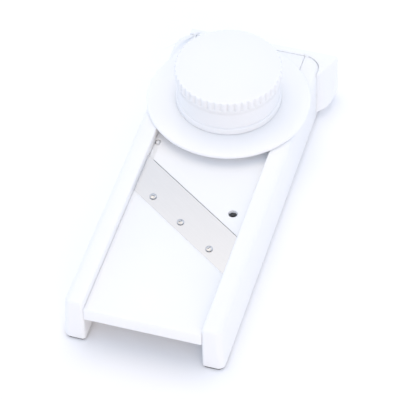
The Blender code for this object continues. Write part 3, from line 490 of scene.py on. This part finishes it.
# ---------------------------------------------------------------- knob and screws
KNURL_COUNT = 48
KNURL_STEPS = 8  # points across one groove and tooth
KNURL_DEPTH = 0.0014
KNURL_HEIGHT = 0.0078
KNURL_FLANK = 0.30  # share of the pitch, on each side of a groove's bottom
KNURL_EASE = 0.0007  # height in which the grooves fade out
KNOB_EDGE = 0.0016
KNOB_EDGE_STEPS = 5
RIM_SHARE = 0.35  # of a groove's depth, on the edge of the cap's top
SHOULDER_DROP = 0.0024  # from the top of the dome to the start of the grooves
DOME_DROP = 0.0011
DOME_SHARES = (0, 0.2, 0.4, 0.6, 0.8, 0.93, 1)
SKIRT_INSET = 0.0008
KNOB_UNDERSIDE = (  # radius and depth below the cap's top
    (0.0443, 0.0146),
    (0.0443, 0.0028),
    (0.0145, 0.0028),
    (0.0145, 0.0070),
    (0.0107, 0.0070),
    (0.0107, 0.0054),
    (0.0123, 0.0054),
    (0.0123, 0.0028),
    (0, 0.0028),
)
HEAD_HEIGHT = 0.0011
HEAD_RIM = 0.1  # share of the head's height that stands straight
CROWN_LOW = 0.45  # share of the head's height where the crown starts
CROWN_TURNS = [math.radians(turn) for turn in (0, 18, 36, 54, 70, 82, 90)]
HEAD_EASE = 0.0001
SHANK = 0.0014
SCREW_STEPS = 48
SLOT_WIDTH = 0.0008
SLOT_LENGTH = 0.0034
SLOT_TURNS = {"blade_screw_left": 1.5, "blade_screw_middle": -0.8, "blade_screw_right": -0.55}


def groove(angle):
    """1 at the bottom of a groove and 0 on the teeth."""
    place = (angle * KNURL_COUNT / (2 * math.pi) + 0.5) % 1 - 0.5
    share = max(0.0, 1 - abs(place) / KNURL_FLANK)
    return share * share * (3 - 2 * share)


def make_knob():
    """The grooved cap: a low dome, a rounded edge, the grooves and a plain skirt."""
    node = "knob_cap"
    low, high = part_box(node)
    radius = (high.x - low.x) / 2
    top = high.z
    grooves_top = top - SHOULDER_DROP
    grooves_low = grooves_top - KNURL_HEIGHT
    skirt = radius - SKIRT_INSET
    rim = radius - KNOB_EDGE

    def shape(angle, here, height):
        # The inner wall lies at the rim's radius, so its upper edge takes the grooves too.
        if here < rim - MERGE:
            return here
        low_fade = (height - grooves_low) / KNURL_EASE
        top_fade = (top - DOME_DROP - height) / KNOB_EDGE + RIM_SHARE
        return here - KNURL_DEPTH * groove(angle) * max(0.0, min(1.0, low_fade, top_fade))

    points = [(rim * share, top - DOME_DROP * share**3) for share in DOME_SHARES]
    for step in range(1, KNOB_EDGE_STEPS + 1):
        angle = math.pi / 2 * step / KNOB_EDGE_STEPS
        across = rim + KNOB_EDGE * math.sin(angle)
        points.append((across, top - DOME_DROP - KNOB_EDGE * (1 - math.cos(angle))))
    points += [(radius, grooves_top - KNURL_HEIGHT * share) for share in (0.1, 0.4, 0.7)]
    points += [(radius, grooves_low + KNURL_EASE), (radius, grooves_low + KNURL_EASE / 2)]
    points += [(radius - SKIRT_INSET / 4, grooves_low), (skirt, grooves_low - KNURL_EASE / 2)]
    points += [(skirt, low.z + KNURL_EASE / 2), (skirt - KNURL_EASE / 2, low.z)]
    points += [(across, top - depth) for across, depth in KNOB_UNDERSIDE]
    steps = KNURL_COUNT * KNURL_STEPS
    return adopt(revolved("knob_cap_fine", node, points, False, steps, shape), node)


def make_screw(node):
    """A round-topped screw with a slot that stops short of the head's edge."""
    low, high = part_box(node)
    middle_x, middle_y = axis_of(node)
    head = (high.x - low.x) / 2
    under = high.z - HEAD_HEIGHT
    points = []
    for turn in CROWN_TURNS:
        rise = CROWN_LOW + (1 - CROWN_LOW) * math.cos(turn)
        points.append((head * math.sin(turn), under + HEAD_HEIGHT * rise))
    points += [(head, under + HEAD_RIM * HEAD_HEIGHT), (head - HEAD_EASE, under), (SHANK, under)]
    points += [(SHANK, low.z + SHANK / 2), (SHANK / 2, low.z), (0, low.z)]
    obj = revolved(node + "_fine", node, points, False, SCREW_STEPS)
    slot = bpy.data.meshes.new(node + "_slot")
    bm = bmesh.new()
    bmesh.ops.create_cube(bm, size=1)
    bmesh.ops.scale(bm, vec=(SLOT_WIDTH, SLOT_LENGTH, HEAD_HEIGHT), verts=bm.verts)
    bmesh.ops.rotate(bm, matrix=Matrix.Rotation(SLOT_TURNS[node], 3, "Z"), verts=bm.verts)
    bmesh.ops.translate(bm, vec=(middle_x, middle_y, high.z), verts=bm.verts)
    bm.to_mesh(slot)
    bm.free()
    return adopt(carved(obj, slot), node)


def carved(obj, mesh):
    """Cuts a mesh out of a piece and keeps the result as the piece's own mesh."""
    tool = bpy.data.objects.new("tool", mesh)
    bpy.context.scene.collection.objects.link(tool)
    modifier = obj.modifiers.new("cut", "BOOLEAN")
    modifier.operation = "DIFFERENCE"
    modifier.solver = "EXACT"
    modifier.object = tool
    graph = bpy.context.evaluated_depsgraph_get()
    cut = bpy.data.meshes.new_from_object(obj.evaluated_get(graph))
    obj.modifiers.clear()
    obj.data = cut
    bpy.data.objects.remove(tool)
    cut.shade_smooth()
    cut.set_sharp_from_angle(angle=CUT_SHARP_TURN)
    return obj


def make_floor():
    bpy.ops.mesh.primitive_plane_add(size=FLOOR_SIZE, location=(0, 0, -FLOOR_DROP))
    floor = bpy.context.object
    floor.name = "floor"
    look = Look("floor_paper", (0.95, 0.95, 0.97), 0.9)
    tone = look.blend(look.noise(3, 2), (0.94, 0.945, 0.965), (0.96, 0.96, 0.975))
    look.link(tone, look.shader.inputs["Base Color"])
    floor.data.materials.append(look.material)


TURNED = {  # turned nodes and their corners' radius
    "guard_plate": 0.0005,
    "guard_tube": 0.0006,
    "spring_seat": 0.0004,
    "stud_ring": 0.0002,
}
CLOSE_FITTING = (
    "left_rail",
    "right_rail",
    "runoff_table",
    "rear_cover",
    "rear_crossbar",
    "hinge_cover",
)
SWELL = 0.00013  # on each face; takes most of the 0.3 mm gap between pieces of the frame
CRISP = 0.00025  # edge radius of the other pieces
SOFT = {  # edge radius of the large mouldings
    "left_rail": 0.0005,
    "right_rail": 0.0005,
    "runoff_table": 0.0004,
    "rear_cover": 0.0010,
}
RUBBED = ("runoff_table", "feed_table")


def main():
    make_camera()
    make_light()
    make_floor()
    for node in sorted(NODES):
        if node == "return_spring":
            paint(NODES[node], "spring_steel")
        elif node == "knob_cap":
            make_knob()
        elif node in TURNED:
            make_turned(node, TURNED[node])
        elif node in SLOT_TURNS:
            make_screw(node)
        else:
            look = "rubbed_plastic" if node in RUBBED else None
            swell = SWELL if node in CLOSE_FITTING else 0.0
            refined(node, SOFT.get(node, CRISP), look=look, swell=swell)


main()
